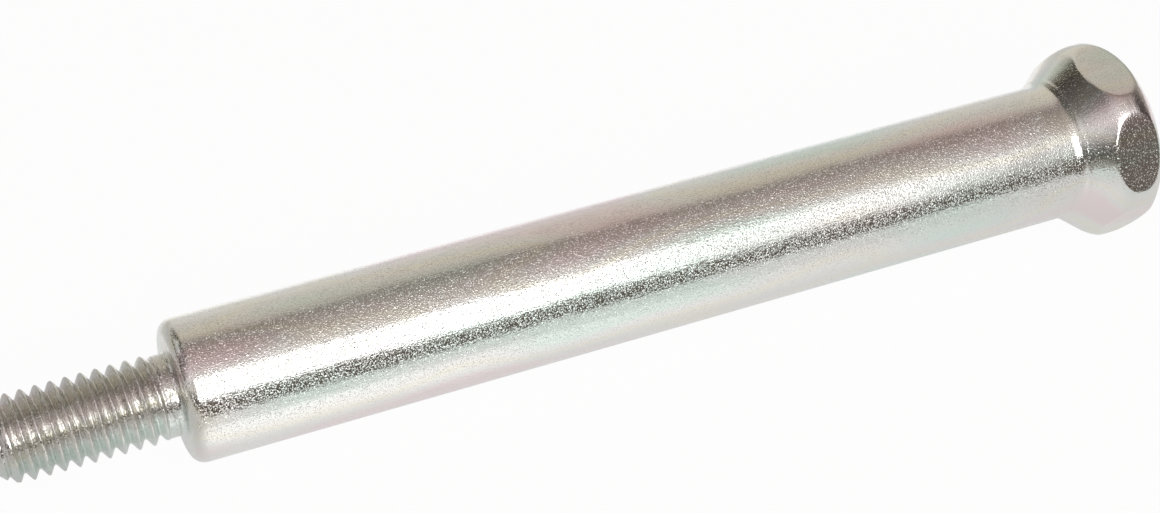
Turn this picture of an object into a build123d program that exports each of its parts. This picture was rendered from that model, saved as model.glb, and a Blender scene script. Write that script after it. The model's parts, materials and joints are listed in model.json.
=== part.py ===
from build123d import *
import os

# A shoulder bolt: one solid piece of plated steel, in millimetres.
# It lies along X, with its threaded end towards -X and its head towards +X.
# The origin is the centre of the flat shoulder face, where the shank meets the thread.

# Shank, the plain cylinder that a pivot turns on
shank_diameter = 15.7
shank_length = 105.2
shoulder_edge_radius = 1.5
head_fillet_radius = 2.0

# Threaded end, 3/8-16 UNC, held here at its outside diameter
thread_diameter = 9.5
thread_end_length = 19.5
tip_diameter = 6.6
tip_chamfer_length = 1.45

# Plain neck between the last turn and the shoulder face
neck_diameter = 8.9
neck_length = 1.3
runout_length = 1.4
neck_fillet_radius = 0.5

# Head: an underside cone, a round crown with six flats, and a bevelled end.
# The crown's width is taken between its two corners, before they are rounded.
head_diameter = 22.9
across_flats = 20.9
underside_length = 4.5
crown_width = 3.8
crown_edge_radius = 3.4
end_bevel_length = 2.0
end_face_diameter = 16.1
end_edge_radius = 0.8

# Places along the axis, worked out from the sizes above
tip_x = -thread_end_length
thread_start_x = tip_x + tip_chamfer_length
runout_x = -neck_length - runout_length
head_x = shank_length
crown_start_x = head_x + underside_length
crown_end_x = crown_start_x + crown_width
end_x = crown_end_x + end_bevel_length


def radius(diameter):
    """Half of a diameter."""
    return diameter / 2


def circles_of(part, diameter):
    """The circular edges of one diameter, in order along the axis."""
    circles = part.edges().filter_by(GeomType.CIRCLE)
    return circles.filter_by(lambda edge: abs(edge.radius - radius(diameter)) < 1e-4).sort_by(Axis.X)


with BuildPart() as shoulder_bolt:
    # The whole bolt is turned from one half outline about the X axis.
    with BuildSketch(Plane.XZ):
        with BuildLine():
            threaded_end = Polyline(
                (tip_x, 0),
                (tip_x, radius(tip_diameter)),
                (thread_start_x, radius(thread_diameter)),
                (runout_x, radius(thread_diameter)),
                (-neck_length, radius(neck_diameter)),
                (0, radius(neck_diameter)),
            )
            shank = Polyline(
                threaded_end @ 1,
                (0, radius(shank_diameter)),
                (head_x, radius(shank_diameter)),
            )
            Polyline(
                shank @ 1,
                (crown_start_x, radius(head_diameter)),
                (crown_end_x, radius(head_diameter)),
                (end_x, radius(end_face_diameter)),
                (end_x, 0),
                threaded_end @ 0,
            )
        make_face()
    revolve(axis=Axis.X)

    # The hollow fillets at the neck and under the head, and the rounded edges: the shoulder's, both of
    # the crown's, which leave it almost a full round, and the end face's
    fillet(circles_of(shoulder_bolt, neck_diameter)[-1], neck_fillet_radius)
    fillet(circles_of(shoulder_bolt, shank_diameter)[0], shoulder_edge_radius)
    fillet(circles_of(shoulder_bolt, shank_diameter)[-1], head_fillet_radius)
    fillet(circles_of(shoulder_bolt, head_diameter), crown_edge_radius)
    fillet(circles_of(shoulder_bolt, end_face_diameter)[-1], end_edge_radius)

    # Six flats, cut parallel to the axis, so each is a closed oval on the round crown
    with BuildSketch(Plane.YZ.offset(head_x)):
        Circle(radius(head_diameter) + 1)
        RegularPolygon(radius(across_flats), 6, major_radius=False, mode=Mode.SUBTRACT)
    extrude(amount=end_x - head_x, mode=Mode.SUBTRACT)

shoulder_bolt.part.label = "shoulder_bolt"

os.makedirs("parts", exist_ok=True)
export_step(shoulder_bolt.part, "parts/shoulder_bolt.step")
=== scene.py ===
"""Dresses the shoulder bolt: its rolled thread, oval-flatted head and zinc plating, in a soft studio."""

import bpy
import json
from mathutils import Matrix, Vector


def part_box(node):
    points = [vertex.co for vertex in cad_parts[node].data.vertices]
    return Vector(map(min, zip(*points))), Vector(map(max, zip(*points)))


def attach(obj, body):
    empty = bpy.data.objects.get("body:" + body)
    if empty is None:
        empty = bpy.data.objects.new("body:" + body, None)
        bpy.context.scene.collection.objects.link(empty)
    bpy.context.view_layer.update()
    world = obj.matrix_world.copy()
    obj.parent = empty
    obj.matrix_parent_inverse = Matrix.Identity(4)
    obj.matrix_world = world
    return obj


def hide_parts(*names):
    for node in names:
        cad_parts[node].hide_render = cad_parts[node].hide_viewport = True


bl_info = {
    "name": "Shoulder Bolt",
    "version": (1, 0, 0),
    "blender": (4, 5, 0),
    "location": "3D View > Sidebar > Shoulder Bolt",
    "description": "Builds a zinc plated shoulder bolt around its CAD frame, and a studio to see it in",
    "category": "Object",
}

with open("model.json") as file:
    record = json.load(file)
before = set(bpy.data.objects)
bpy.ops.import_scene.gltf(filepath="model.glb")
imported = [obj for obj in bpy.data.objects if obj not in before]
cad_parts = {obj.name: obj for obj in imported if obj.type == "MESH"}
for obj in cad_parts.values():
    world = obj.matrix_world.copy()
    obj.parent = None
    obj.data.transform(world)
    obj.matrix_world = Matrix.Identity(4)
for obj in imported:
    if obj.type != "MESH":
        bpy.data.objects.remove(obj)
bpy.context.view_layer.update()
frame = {"record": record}

import json
import math

import bpy
import numpy as np
from bpy.props import FloatProperty, FloatVectorProperty, PointerProperty
from mathutils import Matrix, Vector

NODE = "shoulder_bolt"
MM = 0.001
WHITE = (1, 1, 1)
LOWEST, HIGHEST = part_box(NODE)
MOUNTS = {mount["name"]: mount for mount in frame["record"]["mounts"]}


def mount_radius(name):
    """The radius that the record states for one of the bolt's round mounts, in metres."""
    return MOUNTS[name]["dims"]["r_mm"] * MM


def length(label, about, value):
    """A length property in metres, whose default is given in metres."""
    return FloatProperty(name=label, description=about, default=value, unit="LENGTH", precision=5)


def amount(label, about, value):
    """A plain number property."""
    return FloatProperty(name=label, description=about, default=value, precision=3)


def angle(label, about, degrees):
    """An angle property, whose default is given in degrees."""
    return FloatProperty(name=label, description=about, default=math.radians(degrees), unit="ROTATION")


def colour(label, about, value):
    """A linear colour property."""
    return FloatVectorProperty(
        name=label, description=about, default=value, subtype="COLOR", size=3, min=0, max=1)


class ThreadSizes(bpy.types.PropertyGroup):
    """Sizes of the threaded end, which points along -X from the shoulder face at x = 0."""

    tip: length("Tip", "Length of the threaded end, from the shoulder face", -LOWEST[0])
    outside: length("Outside radius", "Radius over the crests", mount_radius("thread"))
    pitch: length("Pitch", "Axial distance between two crests, 16 turns to the inch", 1.5875 * MM)
    depth: length("Depth", "Height of a crest over the root", 1.0 * MM)
    crest_land: length("Crest land", "Axial width of the crest before it is rounded", 0.25 * MM)
    crest_round: length("Crest rounding", "Softness of the crest", 0.22 * MM)
    root_round: length("Root rounding", "Softness of the root", 0.16 * MM)
    start: amount("Start", "Place of the first crest, in turns", 0.253)
    chamfer: length("Tip chamfer", "Axial length of the chamfer at the tip", 1.45 * MM)
    tip_radius: length("Tip radius", "Radius of the flat end face of the thread", 3.3 * MM)
    lead: length("Lead", "Length of the first turns, whose crests aren't rolled to full height", 2.5 * MM)
    lead_drop: length("Lead drop", "How far the first crest stays under the others", 0.7 * MM)
    neck_radius: length("Neck radius", "Radius of the plain neck beside the shoulder", 4.45 * MM)
    neck: length("Neck", "Length of the plain neck", 1.3 * MM)
    runout: length("Run-out", "Length over which the last turn fades out", 1.4 * MM)
    neck_fillet: length("Neck fillet", "Radius between the neck and the shoulder face", 0.5 * MM)


class ShankSizes(bpy.types.PropertyGroup):
    """Sizes of the plain shank."""

    radius: length("Radius", "Radius of the shank", mount_radius("shank"))
    reach: length("Length", "From the shoulder face to the foot of the head", 105.2 * MM)
    edge: length("Shoulder edge", "Radius of the rounded edge of the shoulder face", 1.5 * MM)


class HeadSizes(bpy.types.PropertyGroup):
    """Sizes of the head."""

    crown_radius: length("Crown radius", "Largest radius of the round crown", HIGHEST[1])
    flat_radius: length("Flat radius", "Distance from the axis to each of the flats", HIGHEST[2])
    end: length("End", "Place of the end face along the axis", HIGHEST[0])
    fillet: length("Fillet", "Radius of the hollow fillet under the head", 2.0 * MM)
    underside: length("Underside", "Axial length of the cone under the head", 4.5 * MM)
    bead: length("Bead", "Place of the fine bead under the cone, beyond the end of the shank", 0.58 * MM)
    bead_width: length("Bead width", "Half width of the bead", 0.24 * MM)
    bead_height: length("Bead height", "Height of the bead", 0.07 * MM)
    crown: length("Crown width", "Axial width of the crown, between its corners before rounding", 3.8 * MM)
    crown_edge: length("Crown rounding", "Radius that rounds both corners of the crown", 3.4 * MM)
    end_radius: length("End face radius", "Radius of the flat end face", 8.05 * MM)
    end_edge: length("End edge", "Radius of the edge of the end face", 0.8 * MM)
    flat_round: length("Flat rounding", "Softness of the edges of the flats", 0.10 * MM)


class PlatingLook(bpy.types.PropertyGroup):
    """Colours and finish of the zinc plating."""

    silver: colour("Silver", "Main colour of the plating", (0.865, 0.86, 0.84))
    rose: colour("Rose", "Pink tint of the clear passivation", (0.885, 0.79, 0.795))
    straw: colour("Straw", "Yellow tint of the clear passivation", (0.875, 0.86, 0.78))
    # Mint is also painted over the thread's lower half as a painted green sheen.
    mint: colour("Mint", "Green tint of the clear passivation", (0.785, 0.875, 0.825))
    roughness: amount("Roughness", "Roughness of the plating", 0.08)
    patch: length("Patch", "Width of the tinted patches", 7 * MM)
    # Painted shade: the darker grey that is painted over the top of the thread.
    thread_shade_grey: colour("Thread grey", "Duller colour of the rolled thread", (0.60, 0.585, 0.545))
    # Painted shade: how much of that darker grey is painted over the thread's top.
    thread_shade_share: amount("Thread dullness", "Share of the duller colour on top of the thread", 0.5)
    # Painted green sheen: how much mint is painted over the thread's lower half.
    thread_green_sheen: amount("Thread greenness", "Share of the mint tint on the thread's lower half", 0.5)
    thread_roughness: amount("Thread roughness", "Roughness that the thread has more than the shank", 0.04)
    thread_drawing: amount("Thread lines", "Height of the rolling lines, as a share of the grain's", 14.0)
    grain: length("Grain", "Size of the grain", 0.20 * MM)
    grain_height: length("Grain height", "Height of the grain", 0.012 * MM)
    specks: amount("Specks", "Steepness of the scattered bright specks, as a share of the grain's", 13.0)
    drawing: amount("Fine lines", "Height of the drawn and turned lines, as a share of the grain's", 1.0)
    swell: length("Swell", "Size of the gentle unevenness under the grain", 2.5 * MM)
    swell_height: amount("Swell height", "Height of the unevenness, as a share of the grain's", 4.0)


class StudioLook(bpy.types.PropertyGroup):
    """The camera, the floor and the lamps."""

    azimuth: angle("Azimuth", "Camera direction about Z: 0 looks along +Y", -23.71)
    elevation: angle("Elevation", "Camera height over the horizon", 43.32)
    roll: angle("Roll", "Turn of the camera about its own view", 1.43)
    distance: length("Distance", "From the camera to the plane that it is aimed at", 261.9 * MM)
    aim_right: length("Aim right", "How far the view's centre lies to the right of the origin", 42.46 * MM)
    aim_up: length("Aim up", "How far the view's centre lies above the origin", 14.35 * MM)
    lens: amount("Lens", "Focal length in millimetres", 77.59)
    floor: colour("Floor", "Colour of the floor", (0.90, 0.90, 0.89))
    softbox: amount("Soft box", "Brightness of the soft box", 3.0)
    side_box: amount("Side box", "Brightness of the dimmer box beside it, towards the head", 0.75)
    end_card: amount("End card", "Brightness of the card off the threaded end", 0.5)
    room: amount("Room", "Brightness of the room", 1.0)


class Socket:
    """A node's output, on which Python's operators work by adding Math nodes."""

    def __init__(self, maker, link):
        self.maker = maker
        self.link = link

    def math(self, operation, *values, clamp=False):
        """A Math node on these values."""
        settings = {"operation": operation, "use_clamp": clamp}
        return self.maker.node("ShaderNodeMath", settings, dict(enumerate(values)))

    def __add__(self, other):
        return self.math("ADD", self, other)

    def __sub__(self, other):
        return self.math("SUBTRACT", self, other)

    def __rsub__(self, other):
        return self.math("SUBTRACT", other, self)

    def __mul__(self, other):
        return self.math("MULTIPLY", self, other)

    def __truediv__(self, other):
        return self.math("DIVIDE", self, other)

    def __rtruediv__(self, other):
        return self.math("DIVIDE", other, self)

    __radd__ = __add__
    __rmul__ = __mul__


class NodeMaker:
    """Makes the nodes of one tree."""

    def __init__(self, tree):
        self.tree = tree
        tree.nodes.clear()

    def node(self, kind, settings=None, sockets=None, output=0):
        """Makes one node: its settings first, then its sockets' values or links. Gives one of its outputs."""
        made = self.tree.nodes.new(kind)
        for name, value in (settings or {}).items():
            if name == "stops":
                set_stops(made.color_ramp, value)
            else:
                setattr(made, name, value)
        for name, value in (sockets or {}).items():
            if isinstance(value, Socket):
                self.tree.links.new(value.link, made.inputs[name])
            else:
                made.inputs[name].default_value = value
        if not made.outputs:
            return None
        return Socket(self, made.outputs[output])

    def parts(self, vector):
        """The X, Y and Z of a vector."""
        first = self.node("ShaderNodeSeparateXYZ", {}, {0: vector})
        return [Socket(self, output) for output in first.link.node.outputs]

    def between(self, value, none, full, interpolation="LINEAR"):
        """A share that is 0 where the value has reached none, and 1 where it has reached full."""
        sockets = {0: value, 1: none, 2: full, 3: 0.0, 4: 1.0}
        return self.node("ShaderNodeMapRange", {"interpolation_type": interpolation}, sockets)

    def mix(self, factor, first, second):
        """A Mix node on two colours."""
        sockets = {0: factor, 6: rgba(first), 7: rgba(second)}
        return self.node("ShaderNodeMix", {"data_type": "RGBA"}, sockets, output=2)


def rgba(value):
    """A colour as four numbers, or a socket as it is."""
    return value if isinstance(value, Socket) else (*value, 1.0)


def set_stops(ramp, stops):
    """Gives a colour ramp these stops, each a position and a colour."""
    while len(ramp.elements) > 1:
        ramp.elements.remove(ramp.elements[-1])
    ramp.elements[0].position, ramp.elements[0].color = stops[0][0], rgba(stops[0][1])
    for position, value in stops[1:]:
        ramp.elements.new(position).color = rgba(value)


def soft_min(first, second, softness):
    """The smaller of two surfaces, with the crease between them rounded: the mean of the two, less half of
    the square root of their squared difference plus the softness squared."""
    return (first + second - np.sqrt((first - second) ** 2 + softness**2)) / 2


def soft_max(first, second, softness):
    """The larger of two surfaces, with the crease between them rounded."""
    return -soft_min(-first, -second, softness)


def smooth_step(value, low, high):
    """0 below low, 1 above high, and the cubic 3 t^2 - 2 t^3 between."""
    t = np.clip((value - low) / (high - low), 0, 1)
    return t * t * (3 - 2 * t)


def unit(vector):
    """A vector of length one."""
    return vector / np.linalg.norm(vector)


def steps(count):
    """Even steps up to 1, without 0."""
    return (np.arange(count) + 1)[:, None] / count


def bent_line(corners):
    """Rows along an outline of straight stretches and rounded corners. The first corner gives its x and
    radius, and each later one also its rounding and the numbers of rows on the stretch before it and on
    its arc. A corner that turns by an angle a is cut back by rounding * tan(a / 2) on both sides. Its arc
    leaves the start by rounding * (ahead * sin t + side * (1 - cos t)), with t from 0 to a."""
    places = [np.array(corner[:2]) for corner in corners]
    last = places[0]
    rows = [last[None]]
    for index, (_, _, rounding, stretch_rows, arc_rows) in enumerate(corners[1:], start=1):
        here = places[index]
        ahead = unit(here - places[index - 1])
        onward = unit(places[index + 1] - here) if rounding else ahead
        turn = math.acos(min(1.0, float(ahead @ onward)))
        start = here - ahead * rounding * math.tan(turn / 2)
        rows.append(last + (start - last) * steps(stretch_rows))
        last = start
        if rounding:
            side = unit(onward - ahead * (ahead @ onward))
            t = turn * steps(arc_rows)
            rows.append(start + rounding * (ahead * np.sin(t) + side * (1 - np.cos(t))))
            last = rows[-1][-1]
    return np.concatenate(rows)


def threaded_radius(x, theta, thread):
    """Radius of the threaded end. The helix is a triangle wave of the axial distance to the nearest crest,
    x / pitch - theta / 2 pi less its nearest whole number, times the pitch, falling by 1 / tan 30 per unit.
    Soft limits round its crest and root. It fades to the neck along the run-out, and stays under two
    cones: the tip's chamfer, and a gentler one over the first turns."""
    turns = x / thread.pitch - theta / (2 * math.pi) - thread.start
    from_crest = np.abs(turns - np.round(turns)) * thread.pitch
    flank = thread.outside - (from_crest - thread.crest_land / 2) / math.tan(math.radians(30))
    crest = soft_min(flank, thread.outside + 0.1 * thread.crest_round, thread.crest_round)
    helix = soft_max(crest, thread.outside - thread.depth, thread.root_round)
    fade = 1 - smooth_step(x, -thread.neck - thread.runout, -thread.neck)
    faded = thread.neck_radius + (helix - thread.neck_radius) * fade
    from_tip = x + thread.tip
    chamfer = thread.tip_radius + from_tip * (thread.outside - thread.tip_radius) / thread.chamfer
    lead = thread.outside - thread.lead_drop * (1 - from_tip / thread.lead)
    return soft_min(soft_min(faded, lead, 0.05 * MM), chamfer, 0.10 * MM)


def thread_rows(thread):
    """Rows of the threaded end: its flat face, and then many along the helix."""
    helix_rows = round((thread.tip - thread.neck) / thread.pitch * 24)
    return bent_line([
        (-thread.tip, 0.5 * MM),
        (-thread.tip, thread.tip_radius * 0.97, 0, 3, 0),
        (-thread.tip, thread.tip_radius, 0, 1, 0),
        (-thread.neck, thread.neck_radius, 0, helix_rows, 0),
    ])


def shank_rows(thread, shank, end):
    """Rows of the neck, its fillet, the shoulder face, its rounded edge and the shank. Two rows lie close
    together at both of the shank's ends, so that its shading stays straight."""
    near = 0.1 * MM
    return bent_line([
        (-thread.neck, thread.neck_radius),
        (0, thread.neck_radius, thread.neck_fillet, 18, 8),
        (0, shank.radius, shank.edge, 8, 18),
        (shank.edge + near, shank.radius, 0, 1, 0),
        (end - near, shank.radius, 0, 24, 0),
        (end, shank.radius, 0, 1, 0),
    ])[1:]


def head_rows(shank, head, start):
    """Rows of the head: the hollow fillet, the underside cone, the round crown, the end bevel and the end
    face. A fine bead runs round the foot of the cone, as high as its height * exp(-(distance / width)^2)."""
    crown_start = shank.reach + head.underside
    slope = (head.crown_radius - shank.radius) / head.underside
    past_bead = head.bead + 3 * head.bead_width
    rows = bent_line([
        (start, shank.radius),
        (shank.reach, shank.radius, head.fillet, 6, 26),
        (shank.reach + past_bead, shank.radius + past_bead * slope, 0, 14, 0),
        (crown_start, head.crown_radius, head.crown_edge, 14, 18),
        (crown_start + head.crown, head.crown_radius, head.crown_edge, 6, 30),
        (head.end, head.end_radius, head.end_edge, 8, 6),
        (head.end, 0.5 * MM, 0, 5, 0),
    ])[1:]
    from_bead = (rows[:, 0] - shank.reach - head.bead) / head.bead_width
    rows[:, 1] += head.bead_height * np.exp(-(from_bead**2))
    return rows


def flatted_radius(radius, theta, head):
    """Radius of the head: the smaller of its round outline and six flats that stand square to theta = 30,
    90, 150 degrees and so on, at flat radius / cos(angle to the nearest of them)."""
    sixth = math.pi / 3
    turn = (theta - sixth / 2) / sixth
    off = (turn - np.round(turn)) * sixth
    return soft_min(radius, head.flat_radius / np.cos(off), head.flat_round)


def ring_points(x, radius, theta):
    """Points of a grid of rings about the X axis, theta turning from +Y towards +Z."""
    x = np.broadcast_to(x, radius.shape)
    return np.stack([x, radius * np.cos(theta), radius * np.sin(theta)], axis=-1)


def ring_quads(first, rings, columns):
    """Outward quads between each of these rings and the next; first is the first ring's first point."""
    ring, column = np.meshgrid(np.arange(rings - 1), np.arange(columns), indexing="ij")
    here, beside = first + ring * columns + column, first + ring * columns + (column + 1) % columns
    return np.stack([here, beside, beside + columns, here + columns], axis=-1).reshape(-1, 4)


def fan(centre, ring, columns, towards_end):
    """Outward triangles between a pole and its ring."""
    here = ring + np.arange(columns)
    beside = ring + (np.arange(columns) + 1) % columns
    pole = np.full(columns, centre)
    return np.stack([pole, here, beside] if towards_end else [pole, beside, here], axis=-1)


def tripled(coarse, fine, columns):
    """Outward triangles between a ring and a ring of three times as many points."""
    j = np.arange(columns)
    here, beside = coarse + j, coarse + (j + 1) % columns
    a, b, c, d = (fine + (3 * j + k) % (3 * columns) for k in range(4))
    return np.concatenate([
        np.stack([here, b, a], axis=-1),
        np.stack([here, beside, b], axis=-1),
        np.stack([beside, c, b], axis=-1),
        np.stack([beside, d, c], axis=-1),
    ])


def new_mesh(name, points, quads, triangles):
    """A smooth mesh of these points and faces."""
    mesh = bpy.data.meshes.new(name)
    mesh.vertices.add(len(points))
    mesh.vertices.foreach_set("co", points.astype(np.float32).ravel())
    corners = np.concatenate([quads.ravel(), triangles.ravel()]).astype(np.int32)
    starts = np.concatenate([np.arange(len(quads)) * 4, len(quads) * 4 + np.arange(len(triangles)) * 3])
    mesh.loops.add(len(corners))
    mesh.loops.foreach_set("vertex_index", corners)
    mesh.polygons.add(len(starts))
    mesh.polygons.foreach_set("loop_start", starts.astype(np.int32))
    mesh.polygons.foreach_set("use_smooth", np.ones(len(starts), dtype=bool))
    mesh.update(calc_edges=True)
    mesh.validate()
    return mesh


def bolt_mesh(thread, shank, head):
    """The whole bolt as one closed surface of two parameters: the row along its outline, and the angle
    about its axis. The head has three times as many points around as the rest."""
    columns, near = 128, 1e-9
    head_foot = shank.reach - head.fillet
    head_part = head_rows(shank, head, head_foot)
    body = np.concatenate([thread_rows(thread), shank_rows(thread, shank, head_foot)])
    theta = np.arange(columns) * 2 * math.pi / columns
    x, radius = body[:, :1], body[:, 1:]
    threaded = (x > near - thread.tip) & (x <= near - thread.neck)
    radius = np.where(threaded, threaded_radius(x, theta, thread), radius + 0 * theta)
    body_points = ring_points(x, radius, theta)
    fine = np.arange(3 * columns) * 2 * math.pi / (3 * columns)
    head_radius = flatted_radius(head_part[:, 1:], fine, head)
    head_points = ring_points(head_part[:, :1], head_radius, fine)
    tip, end = np.array([[-thread.tip, 0, 0]]), np.array([[head.end, 0, 0]])
    points = np.concatenate([tip, body_points.reshape(-1, 3), head_points.reshape(-1, 3), end])
    last_body_ring = 1 + (len(body) - 1) * columns
    first_head_ring = 1 + len(body) * columns
    last_head_ring = first_head_ring + (len(head_part) - 1) * 3 * columns
    quads = np.concatenate([
        ring_quads(1, len(body), columns),
        ring_quads(first_head_ring, len(head_part), 3 * columns),
    ])
    triangles = np.concatenate([
        fan(0, 1, columns, False),
        tripled(last_body_ring, first_head_ring, columns),
        fan(len(points) - 1, last_head_ring, 3 * columns, True),
    ])
    return new_mesh(NODE, points, quads, triangles)


def plating_material(look, shank):
    """Clear zinc plating: bright metal with a grain and scattered steeper specks, over a gentle swell. It
    has lines along the shank, which is drawn bar, and around the turned ends, with coarser rolling lines
    on the thread. Its tints are faint, in long patches. The thread has painted shade on top, a darker grey,
    and a painted green sheen on its lower half."""
    material = bpy.data.materials.new("zinc_plating")
    material.use_nodes = True
    maker = NodeMaker(material.node_tree)
    place = maker.node("ShaderNodeTexCoord", output="Object")
    x, _, z = maker.parts(place)

    def noise(size, along=1.0, around=1.0):
        """Noise of this size, stretched by these factors along the axis and around it."""
        scale = (1 / along, 1 / around, 1 / around)
        vector = maker.node("ShaderNodeMapping", {}, {"Vector": place, "Scale": scale})
        sockets = {"Vector": vector, "Scale": 1 / size, "Detail": 1.0, "Roughness": 0.5}
        return maker.node("ShaderNodeTexNoise", {}, sockets, output="Fac")

    def above(level, value):
        """How far the value stands above this level, or 0."""
        return value.math("MAXIMUM", value - level, 0.0)

    half = shank.reach / 2
    on_shank = maker.between(x.math("ABSOLUTE", x - half), half, half - 3 * MM)
    off_head = maker.between(x, shank.reach + 1 * MM, shank.reach - 4 * MM)
    on_thread = maker.between(x, 0.3 * MM, -0.8 * MM)

    drawn = noise(0.7 * look.grain, along=9)
    rolled = noise(1.6 * look.grain, around=8) * on_thread * look.thread_drawing
    turned = noise(0.7 * look.grain, around=9) + rolled
    lines = drawn * on_shank + turned * (1 - on_shank)
    # The head has fewer specks than the rest, and gentler ones.
    specks = above(0.57 - off_head * 0.04, noise(0.8 * look.grain)) * (off_head * 0.6 + 0.4)
    swell = noise(look.swell, along=2)
    height = noise(look.grain) + specks * look.specks + lines * look.drawing + swell * look.swell_height
    bumps = {"Height": height, "Distance": look.grain_height, "Strength": 1.0}

    tint = maker.node("ShaderNodeValToRGB", {"stops": [
        (0.36, look.rose), (0.45, look.silver), (0.50, look.straw), (0.55, look.silver), (0.64, look.mint),
    ]}, {"Fac": noise(look.patch, along=5)})
    # Painted shade: the thread is painted a darker grey towards its top, from 0.3 mm above the axis to full
    # at 1.6 mm.
    painted_top_shade = on_thread * maker.between(z, 0.3 * MM, 1.6 * MM) * look.thread_shade_share
    # Painted green sheen: mint painted over the thread from the axis down, fading out by 1.5 mm above it.
    painted_green_sheen = on_thread * maker.between(z, 1.5 * MM, 0.0) * look.thread_green_sheen
    metal = maker.node("ShaderNodeBsdfPrincipled", {}, {
        "Base Color": maker.mix(painted_top_shade, maker.mix(painted_green_sheen, tint, look.mint), look.thread_shade_grey),
        "Metallic": 1.0,
        "Roughness": on_thread * look.thread_roughness + look.roughness,
        "Normal": maker.node("ShaderNodeBump", {}, bumps),
    })
    maker.node("ShaderNodeOutputMaterial", {}, {"Surface": metal})
    return material


def resting_plane(shank, head):
    """Two points, seen from the side, of the plane that the bolt lies on: under the shoulder's edge and
    under the near edge of the head's lowest flat, where the underside cone is as wide as the flats."""
    cone_share = (head.flat_radius - shank.radius) / (head.crown_radius - shank.radius)
    return (shank.edge, -shank.radius), (shank.reach + head.underside * cone_share, -head.flat_radius)


def camera_axes(look):
    """The camera's right, up and backward directions."""
    ca, sa, ce, se = (f(a) for a in (look.azimuth, look.elevation) for f in (math.cos, math.sin))
    right, up, back = Vector((ca, sa, 0)), Vector((-sa * se, ca * se, ce)), Vector((sa * ce, -ca * ce, se))
    c, s = math.cos(look.roll), math.sin(look.roll)
    return c * right + s * up, -s * right + c * up, back


def add_camera(look):
    """The camera, aimed at a point given along its own right and up directions."""
    right, up, back = camera_axes(look)
    data = bpy.data.cameras.new("camera")
    data.lens = look.lens
    data.sensor_width = 36
    data.clip_start = 0.01
    camera = bpy.data.objects.new("camera", data)
    place = look.aim_right * right + look.aim_up * up + look.distance * back
    axes = Matrix((right, up, back)).transposed().to_4x4()
    camera.matrix_world = Matrix.Translation(place) @ axes
    bpy.context.collection.objects.link(camera)
    bpy.context.scene.camera = camera


def floor_material(look):
    """A pale floor. Seen straight from the camera it is nearly all white, with a trace of its shadows. So
    it is for the most part in the metal, which also sees a painted glow on it: a strip of painted light in
    front and one behind, and painted shade far behind and beyond the shoulder towards the threaded end."""
    material = bpy.data.materials.new("floor")
    material.use_nodes = True
    maker = NodeMaker(material.node_tree)
    x, y, _ = maker.parts(maker.node("ShaderNodeTexCoord", output="Object"))

    def strip(middle, half_width):
        """1 along this line of the floor, and 0 from this far on both sides of it."""
        beside = y.math("ABSOLUTE", y - middle)
        return maker.between(beside, half_width, half_width * 0.35, "SMOOTHSTEP")

    leftward = maker.between(x, 110 * MM, 15 * MM)
    by_shank = maker.between(x, -12 * MM, 4 * MM)
    far_behind = maker.between(y, 40 * MM, 130 * MM)
    # Painted light and shade on the floor, seen only in the metal: brighter strips in front and behind,
    # dimmer far behind and left of the shoulder.
    painted_front_strip = strip(-21.5 * MM, 14 * MM) * leftward * 0.54
    behind = strip(33 * MM, 33 * MM) * (leftward * 0.12 + 0.34)
    painted_glow = by_shank * (painted_front_strip + behind + leftward * 0.06 + 0.19) - far_behind * 0.13 + 0.56
    lit = maker.node("ShaderNodeBsdfDiffuse", {}, {"Color": rgba(look.floor)})
    white = maker.node("ShaderNodeEmission", {}, {"Color": rgba(WHITE), "Strength": 1.0})
    # The painted glow of the floor, which the metal sees instead of a lit floor.
    reflected = maker.node("ShaderNodeEmission", {}, {"Color": painted_glow, "Strength": 1.0})
    seen = maker.node("ShaderNodeLightPath", output="Is Camera Ray")
    mirrored = maker.node("ShaderNodeLightPath", output="Is Glossy Ray")
    there = maker.node("ShaderNodeMixShader", {}, {0: seen * 0.96, 1: lit, 2: white})
    surface = maker.node("ShaderNodeMixShader", {}, {0: mirrored * 0.75, 1: there, 2: reflected})
    maker.node("ShaderNodeOutputMaterial", {}, {"Surface": surface})
    return material


def add_floor(look, shank, head):
    """A flat floor that touches the bolt at the shoulder's edge and at the head's lowest flat."""
    (x_left, z_left), (x_right, z_right) = resting_plane(shank, head)
    slope = (z_right - z_left) / (x_right - x_left)
    left, right, front, back = -1.2, 1.2, -0.19, 0.9
    corners = [(x, y, z_left + (x - x_left) * slope) for x, y in
               ((left, front), (right, front), (right, back), (left, back))]
    mesh = bpy.data.meshes.new("floor")
    mesh.from_pydata(corners, [], [(0, 1, 2, 3)])
    mesh.materials.append(floor_material(look))
    floor = bpy.data.objects.new("floor", mesh)
    bpy.context.collection.objects.link(floor)


def add_softbox(name, radiance, middle, outward, width, height):
    """A soft box that faces the bolt at x = middle, from this far outward. The camera doesn't see it."""
    data = bpy.data.lights.new(name, "AREA")
    data.shape = "RECTANGLE"
    data.size, data.size_y = width, height
    data.energy = radiance * math.pi * width * height
    lamp = bpy.data.objects.new(name, data)
    outward = Vector(outward)
    lamp.location = outward + Vector((middle, 0, 0))
    lamp.rotation_euler = outward.to_track_quat("Z", "Y").to_euler()
    lamp.visible_camera = False
    bpy.context.collection.objects.link(lamp)


def bands(stops):
    """Ramp stops for bands about the X axis, whose places are given in degrees: -90 is down, 0 in front,
    90 up and 180 behind."""
    return {"stops": [(0.5 + degrees / 360, value) for degrees, value in stops]}


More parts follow.
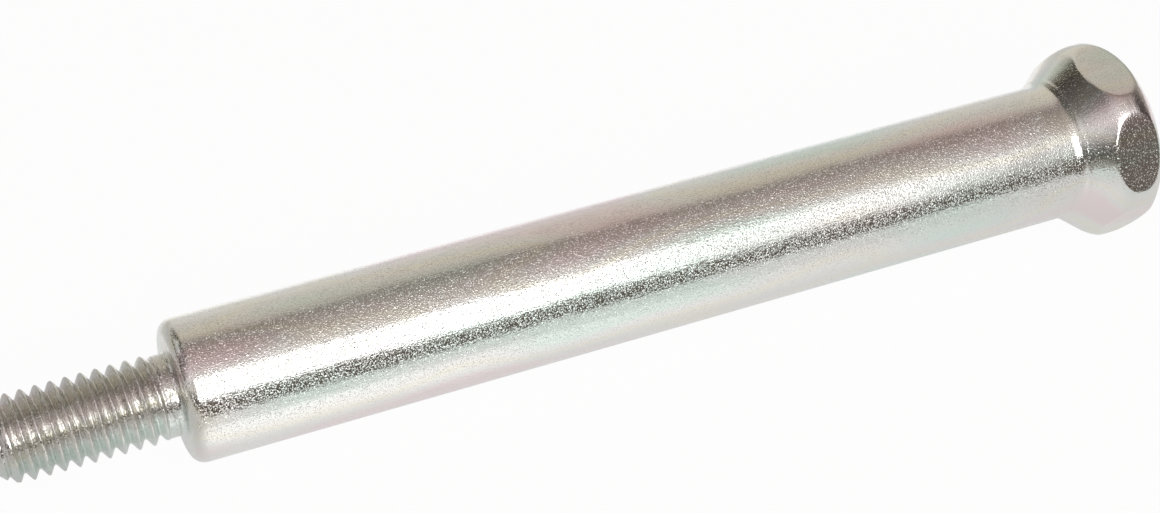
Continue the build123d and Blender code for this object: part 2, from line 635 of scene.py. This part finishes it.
def room_world(look):
    """The room, as bands about the X axis: a pale sheet behind, a lit ceiling, and a dark room in front. To
    the left the dark reaches over the ceiling, down to the sheet, and to the right the whole room is dark.
    The camera sees plain white."""
    world = bpy.data.worlds.new("room")
    world.use_nodes = True
    maker = NodeMaker(world.node_tree)
    x, y, z = maker.parts(maker.node("ShaderNodeTexCoord", output="Generated"))
    turn = z.math("ARCTAN2", z, y * -1.0) / (2 * math.pi) + 0.5
    ahead = maker.node("ShaderNodeValToRGB", bands((
        (-180, (0.69, 0.67, 0.62)),
        (-90, (0.60, 0.60, 0.58)),
        (-10, (0.20, 0.185, 0.165)),
        (-4, (0.130, 0.105, 0.090)),
        (14, (0.130, 0.105, 0.090)),
        (26, (0.34, 0.32, 0.30)),
        (60, (0.95, 0.92, 0.90)),
        (68, (0.65, 0.60, 0.575)),
        (80, (0.49, 0.43, 0.40)),
        (100, (0.34, 0.29, 0.265)),
        (118, (0.23, 0.195, 0.175)),
        (128, (0.51, 0.45, 0.395)),
        (140, (0.62, 0.575, 0.50)),
        (180, (0.69, 0.67, 0.62)),
    )), {"Fac": turn})
    leftward = maker.node("ShaderNodeValToRGB", bands((
        (-180, (0.67, 0.66, 0.59)),
        (-90, (0.60, 0.60, 0.58)),
        (-14, (0.50, 0.46, 0.42)),
        (1, (0.33, 0.28, 0.25)),
        (13, (0.11, 0.095, 0.085)),
        (28, (0.15, 0.135, 0.125)),
        (45, (0.52, 0.49, 0.48)),
        (64, (0.78, 0.74, 0.73)),
        (76, (0.60, 0.56, 0.55)),
        (96, (0.20, 0.185, 0.175)),
        (112, (0.125, 0.118, 0.107)),
        (148, (0.055, 0.048, 0.040)),
        (158, (0.11, 0.10, 0.08)),
        (168, (0.36, 0.35, 0.29)),
        (180, (0.67, 0.66, 0.59)),
    )), {"Fac": turn})
    rightward = maker.node("ShaderNodeValToRGB", bands((
        (-180, (0.36, 0.34, 0.30)),
        (-90, (0.60, 0.60, 0.58)),
        (-6, (0.45, 0.42, 0.38)),
        (12, (0.15, 0.13, 0.115)),
        (30, (0.085, 0.075, 0.07)),
        (75, (0.085, 0.075, 0.07)),
        (118, (0.17, 0.155, 0.135)),
        (132, (0.36, 0.34, 0.30)),
        (180, (0.36, 0.34, 0.30)),
    )), {"Fac": turn})
    left, right = maker.between(x, -0.08, -0.28), maker.between(x, 0.48, 0.72)
    bent = maker.mix(right, maker.mix(left, ahead, leftward), rightward)
    room = maker.node("ShaderNodeBackground", {}, {"Color": bent, "Strength": look.room})
    white = maker.node("ShaderNodeBackground", {}, {"Color": rgba(WHITE), "Strength": 1.0})
    seen = maker.node("ShaderNodeLightPath", output="Is Camera Ray")
    surface = maker.node("ShaderNodeMixShader", {}, {0: seen, 1: room, 2: white})
    maker.node("ShaderNodeOutputWorld", {}, {"Surface": surface})
    bpy.context.scene.world = world


class SHOULDERBOLT_OT_bolt(bpy.types.Operator):
    """Build the shoulder bolt, with its thread, flats and plating, in place of its CAD solid"""

    bl_idname = "shoulderbolt.bolt"
    bl_label = "Build the bolt"

    def execute(self, context):
        scene = context.scene
        mesh = bolt_mesh(scene.bolt_thread, scene.bolt_shank, scene.bolt_head)
        mesh.materials.append(plating_material(scene.bolt_plating, scene.bolt_shank))
        bolt = bpy.data.objects.new("plated_shoulder_bolt", mesh)
        context.collection.objects.link(bolt)
        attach(bolt, "root")
        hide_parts(NODE)
        return {"FINISHED"}


class SHOULDERBOLT_OT_studio(bpy.types.Operator):
    """Set up the pale floor, the soft light, the room and the camera"""

    bl_idname = "shoulderbolt.studio"
    bl_label = "Set up the studio"

    def execute(self, context):
        scene = context.scene
        look = scene.bolt_studio
        scene.view_settings.view_transform = "Standard"
        add_camera(look)
        add_floor(look, scene.bolt_shank, scene.bolt_head)
        front, off_end = (0, -0.385, 0.335), (-0.124, 0.111, 0.111)
        add_softbox("soft_box", look.softbox, middle=0.045, outward=front, width=0.33, height=0.286)
        add_softbox("side_box", look.side_box, middle=0.275, outward=front, width=0.13, height=0.286)
        add_softbox("end_card", look.end_card, middle=0, outward=off_end, width=0.09, height=0.09)
        room_world(look)
        return {"FINISHED"}


class SHOULDERBOLT_PT_panel(bpy.types.Panel):
    """Lists the pieces and the studio"""

    bl_label = "Shoulder Bolt"
    bl_idname = "SHOULDERBOLT_PT_panel"
    bl_space_type = "VIEW_3D"
    bl_region_type = "UI"
    bl_category = "Shoulder Bolt"

    def draw(self, context):
        for operator, group in PANEL_ROWS:
            self.layout.operator(operator.bl_idname)
            for name in group:
                settings = getattr(context.scene, name)
                for prop in settings.bl_rna.properties:
                    if prop.identifier not in ("rna_type", "name"):
                        self.layout.prop(settings, prop.identifier)


SETTINGS = {
    "bolt_thread": ThreadSizes,
    "bolt_shank": ShankSizes,
    "bolt_head": HeadSizes,
    "bolt_plating": PlatingLook,
    "bolt_studio": StudioLook,
}
PANEL_ROWS = (
    (SHOULDERBOLT_OT_bolt, ("bolt_thread", "bolt_shank", "bolt_head", "bolt_plating")),
    (SHOULDERBOLT_OT_studio, ("bolt_studio",)),
)
CLASSES = (*SETTINGS.values(), SHOULDERBOLT_OT_bolt, SHOULDERBOLT_OT_studio, SHOULDERBOLT_PT_panel)


def register():
    """Registers the classes and hangs the settings on the scene."""
    for cls in CLASSES:
        bpy.utils.register_class(cls)
    for name, group in SETTINGS.items():
        setattr(bpy.types.Scene, name, PointerProperty(type=group))


def unregister():
    """Takes the settings and the classes away again."""
    for name in SETTINGS:
        delattr(bpy.types.Scene, name)
    for cls in reversed(CLASSES):
        bpy.utils.unregister_class(cls)


def main():
    """Builds everything in order."""
    register()
    bpy.ops.shoulderbolt.bolt()
    bpy.ops.shoulderbolt.studio()


if __name__ == "__main__":
    main()
